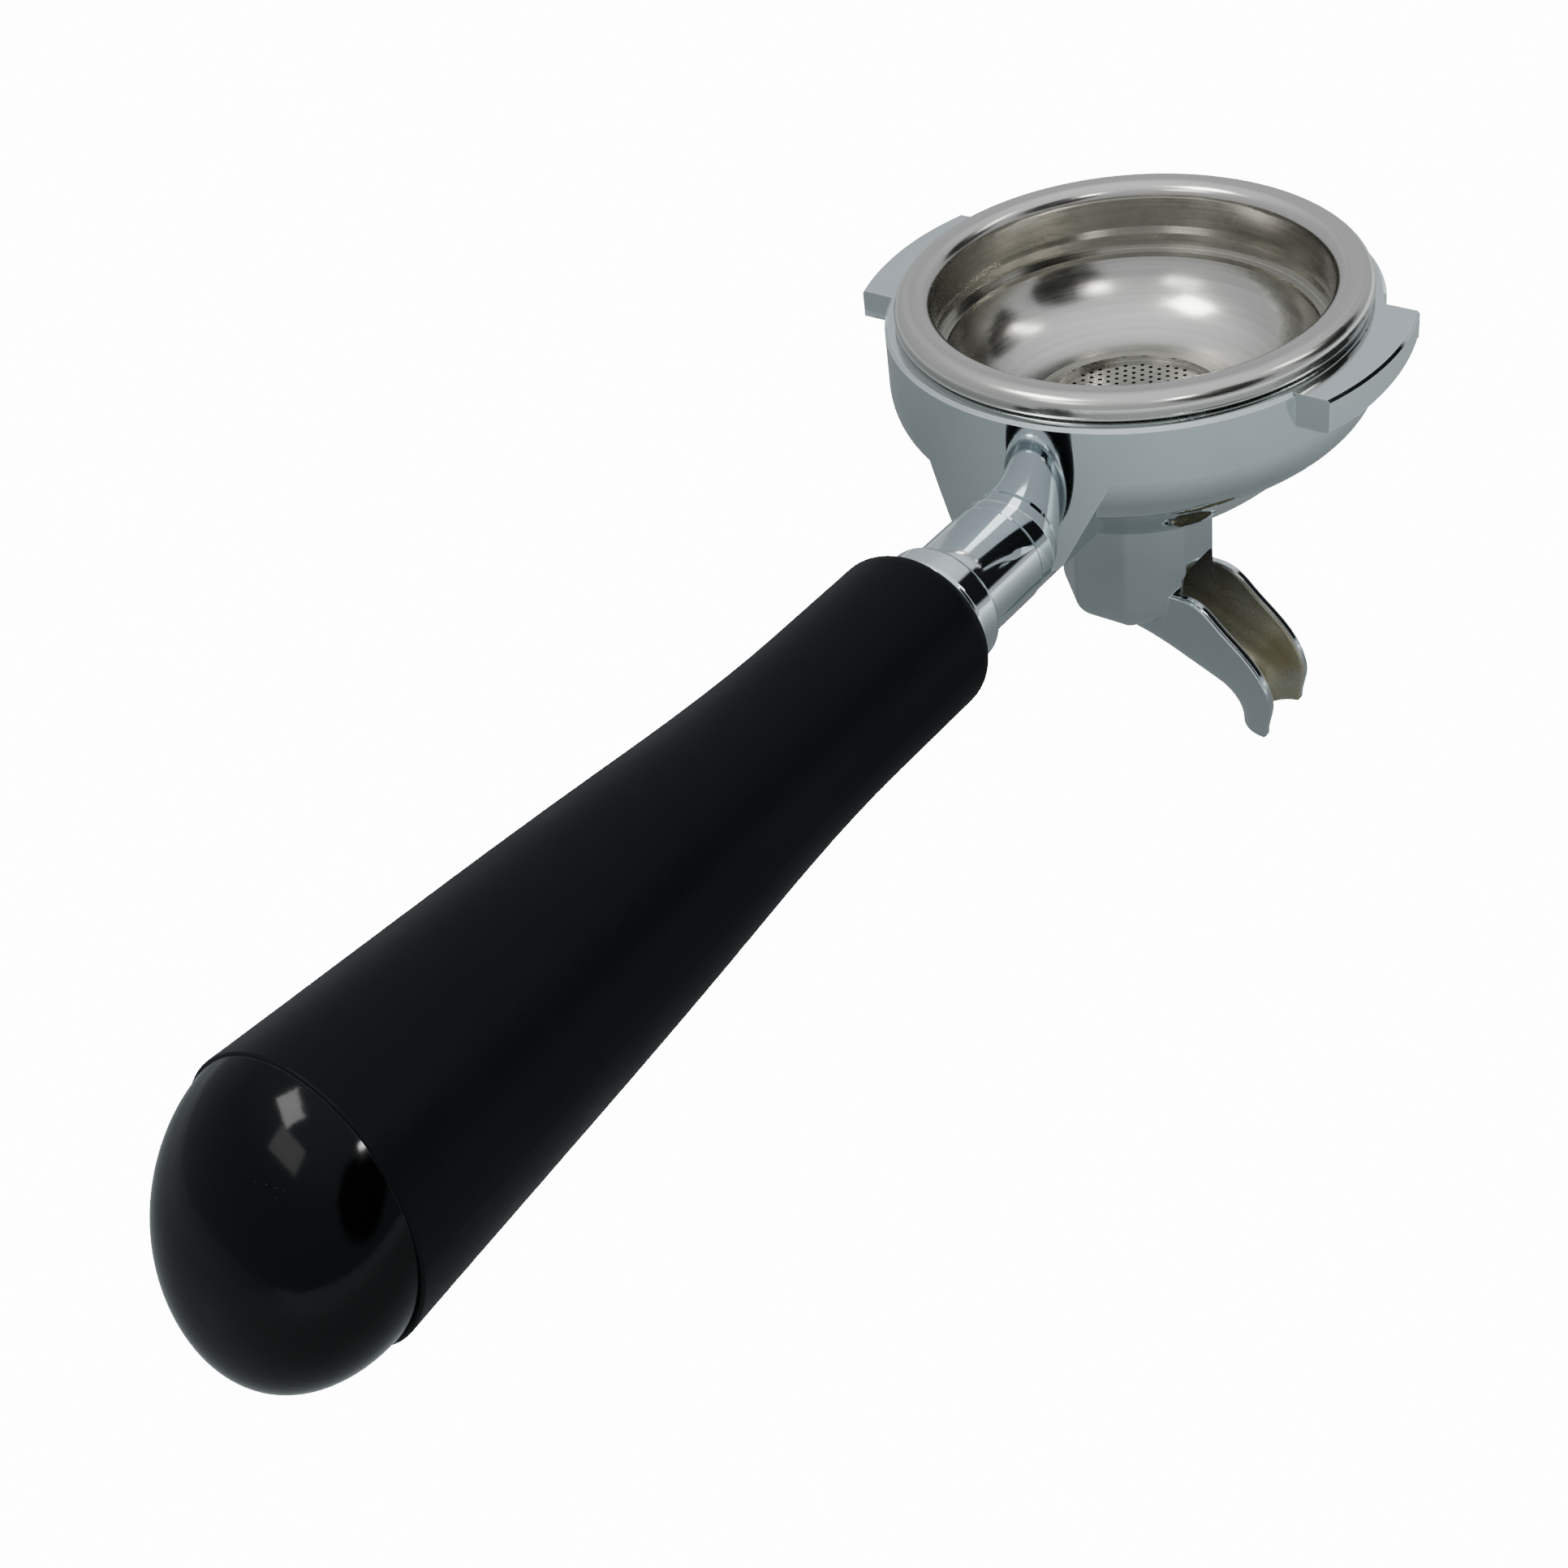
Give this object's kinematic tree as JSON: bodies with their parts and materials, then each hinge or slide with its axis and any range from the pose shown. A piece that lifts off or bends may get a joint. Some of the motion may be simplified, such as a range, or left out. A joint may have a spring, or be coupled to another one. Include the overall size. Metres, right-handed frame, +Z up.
{
  "type": "portafilter",
  "caption": "Espresso portafilter: chromed bowl with bayonet ears, lift-out stepped filter basket, open curved spout and black grip with a domed end cap.",
  "frame": {"origin": "centre of the body's top rim, on the bowl's axis", "axes": "+Z up the bowl's axis, -Y along the handle towards its end cap, bayonet ears on +X and -X"},
  "size_m": [0.083, 0.2397, 0.0734],
  "materials": {
    "chrome_plate": "polished chrome plating over a brass casting, with faint pits and wipe marks",
    "stainless_sheet": "satin stainless sheet, turned by brushing round its axis",
    "spring_steel": "bright drawn spring wire",
    "zinc_steel": "zinc plated steel",
    "seal_fibre": "red-brown pressed fibre",
    "cushion_rubber": "soft black rubber",
    "black_moulding": "matt black phenolic moulding",
    "black_gloss": "gloss black moulding"
  },
  "bodies": {
    "holder": {"portafilter_body": "chrome_plate", "basket_spring": "spring_steel", "stem_sleeve": "chrome_plate", "ferrule": "chrome_plate", "grip_cushion": "cushion_rubber", "grip": "black_moulding", "handle_bolt": "zinc_steel", "bolt_washer": "zinc_steel", "bolt_lock_washer": "spring_steel", "end_cap": "black_gloss", "cap_ring": "cushion_rubber"},
    "basket": {"filter_basket": "stainless_sheet"},
    "seal": {"outlet_seal": "seal_fibre"},
    "spout": {"spout": "chrome_plate"}
  },
  "joints": [
    {"name": "basket_lift", "type": "slide", "parent": "holder", "child": "basket", "axis": [0, 0, 1], "range_m": [0, 0.035]},
    {"name": "spout_drop", "type": "slide", "parent": "holder", "child": "seal", "axis": [0, 0, -1], "range_m": [0, 0.0047]},
    {"name": "spout_turn", "type": "hinge", "parent": "seal", "child": "spout", "pos_m": [0, 0, -0.0319], "axis": [0, 0, -1], "range_deg": [0, 1260]}
  ],
  "couplings": [
    {"joint": "spout_drop", "follows": "spout_turn", "m_per_rad": 0.00021279}
  ]
}
